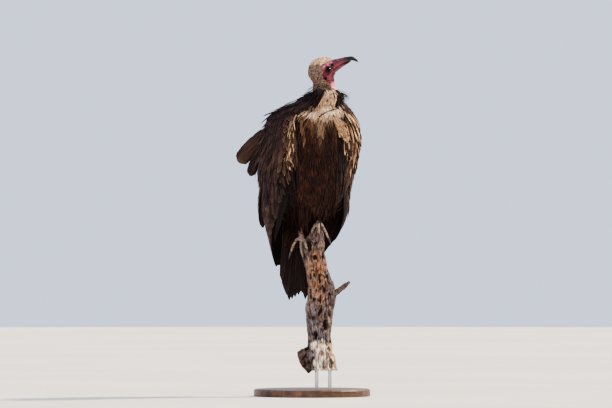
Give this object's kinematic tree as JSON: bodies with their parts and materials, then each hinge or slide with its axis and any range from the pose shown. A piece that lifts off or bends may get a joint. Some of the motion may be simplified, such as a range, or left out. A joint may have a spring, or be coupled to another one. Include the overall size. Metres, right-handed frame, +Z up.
{
  "type": "hooded vulture",
  "caption": "Life-size hooded vulture perched on a cut length of dead branch above a plain display stand.",
  "frame": {"origin": "centre of the stand's underside, under the feet", "axes": "+Z up; -Y the way the bird's chest faces; +X its left side, to which the head is turned"},
  "size_m": [0.3045, 0.3, 0.8738],
  "materials": {
    "plumage": "soft dark brown contour feathers",
    "flight_feathers": "blackish brown vanes with paler edges",
    "bare_skin": "wrinkled pink skin, with cream down over the crown",
    "down": "short woolly down",
    "horn": "smooth dark horn with a dull shine",
    "eye": "wet dark brown eye",
    "foot_scales": "pale grey scaly skin",
    "dead_wood": "weathered grey and tan, split along the grain",
    "stand_wood": "dark satin stained",
    "stand_steel": "satin"
  },
  "bodies": {
    "root": {"trunk": "plumage", "thigh_left": "plumage", "thigh_right": "plumage", "ruff": "plumage", "wing_left": "flight_feathers", "wing_right": "flight_feathers", "tail": "flight_feathers", "head": "bare_skin", "neck": "down", "bill_upper": "horn", "bill_lower": "horn", "claw_left_outer": "horn", "claw_left_middle": "horn", "claw_left_inner": "horn", "claw_left_hind": "horn", "claw_right_outer": "horn", "claw_right_middle": "horn", "claw_right_inner": "horn", "claw_right_hind": "horn", "eye_left": "eye", "eye_right": "eye", "foot_left": "foot_scales", "foot_right": "foot_scales", "perch": "dead_wood", "perch_twig": "dead_wood", "stand_base": "stand_wood", "stand_rod_1": "stand_steel", "stand_rod_2": "stand_steel"}
  },
  "joints": []
}
